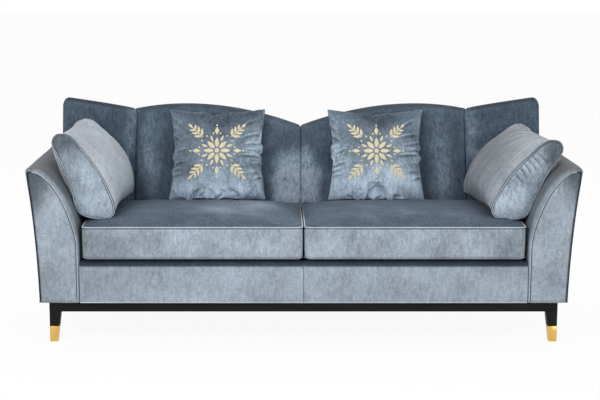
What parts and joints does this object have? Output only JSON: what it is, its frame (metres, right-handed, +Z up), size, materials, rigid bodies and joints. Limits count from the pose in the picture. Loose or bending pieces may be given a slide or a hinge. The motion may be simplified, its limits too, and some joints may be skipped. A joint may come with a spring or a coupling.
{
  "type": "three-seater sofa",
  "caption": "Long sofa with flared arms, a raked back of humps and wings, loose seat, scatter and side cushions, dark plinth and brass-capped tapered legs.",
  "frame": {"origin": "on the floor, in the middle of the footprint", "axes": "+X to the right seen from the front, +Y to the back, +Z up; the front faces -Y"},
  "size_m": [2.26, 0.8256, 0.943],
  "materials": {
    "velvet": "matte",
    "dark_wood": "satin",
    "brass": "polished",
    "frame_wood": "matte",
    "foam": "matte",
    "steel": "satin",
    "black_cloth": "matte",
    "glide": "matte",
    "gold_thread": "satin"
  },
  "bodies": {
    "root": {"plinth_front_rail": "dark_wood", "plinth_rear_rail": "dark_wood", "plinth_side_rails": "dark_wood", "plinth_corner_blocks": "frame_wood", "leg_front_left": "dark_wood", "leg_front_right": "dark_wood", "leg_rear_left": "dark_wood", "leg_rear_right": "dark_wood", "leg_cap_front_left": "brass", "leg_cap_front_right": "brass", "leg_cap_rear_left": "brass", "leg_cap_rear_right": "brass", "floor_glides": "glide", "leg_bolts": "steel", "plinth_screws": "steel", "seat_frame_front_rail": "frame_wood", "seat_frame_rear_rail": "frame_wood", "seat_frame_side_rails": "frame_wood", "seat_frame_cross_rails": "frame_wood", "seat_frame_corner_blocks": "frame_wood", "seat_springs": "steel", "spring_clips": "steel", "deck_pad": "foam", "deck_cover": "black_cloth", "dust_cover": "black_cloth", "front_rail_padding": "foam", "front_rail_cover": "velvet", "arm_frame_left": "frame_wood", "arm_frame_right": "frame_wood", "arm_padding_left": "foam", "arm_padding_right": "foam", "arm_cover_left": "velvet", "arm_cover_right": "velvet", "arm_front_panel_left": "velvet", "arm_front_panel_right": "velvet", "arm_piping_left": "velvet", "arm_piping_right": "velvet", "back_posts_and_lower_rail": "frame_wood", "back_top_rail": "frame_wood", "wing_frames": "frame_wood", "back_webbing": "black_cloth", "inside_back_padding": "foam", "inside_back_cover": "velvet", "wing_padding_left": "foam", "wing_padding_right": "foam", "wing_cover_left": "velvet", "wing_cover_right": "velvet", "outside_back_cover": "velvet"},
    "seat_cushion_left": {"seat_cushion_cover_left": "velvet", "seat_cushion_core_left": "foam"},
    "scatter_cushion_left": {"scatter_cushion_cover_left": "velvet", "scatter_cushion_filling_left": "foam"},
    "side_cushion_left": {"side_cushion_cover_left": "velvet", "side_cushion_filling_left": "foam"},
    "seat_cushion_right": {"seat_cushion_cover_right": "velvet", "seat_cushion_core_right": "foam"},
    "scatter_cushion_right": {"scatter_cushion_cover_right": "velvet", "scatter_cushion_filling_right": "foam"},
    "side_cushion_right": {"side_cushion_cover_right": "velvet", "side_cushion_filling_right": "foam"}
  },
  "joints": [
    {"name": "seat_cushion_lift_left", "type": "slide", "parent": "root", "child": "seat_cushion_left", "axis": [0, 0, 1], "range_m": [0, 0.6]},
    {"name": "scatter_cushion_lift_left", "type": "slide", "parent": "seat_cushion_left", "child": "scatter_cushion_left", "axis": [0, 0, 1], "range_m": [0, 0.5]},
    {"name": "side_cushion_lift_left", "type": "slide", "parent": "seat_cushion_left", "child": "side_cushion_left", "axis": [0, 0, 1], "range_m": [0, 0.5]},
    {"name": "seat_cushion_lift_right", "type": "slide", "parent": "root", "child": "seat_cushion_right", "axis": [0, 0, 1], "range_m": [0, 0.6]},
    {"name": "scatter_cushion_lift_right", "type": "slide", "parent": "seat_cushion_right", "child": "scatter_cushion_right", "axis": [0, 0, 1], "range_m": [0, 0.5]},
    {"name": "side_cushion_lift_right", "type": "slide", "parent": "seat_cushion_right", "child": "side_cushion_right", "axis": [0, 0, 1], "range_m": [0, 0.5]}
  ]
}
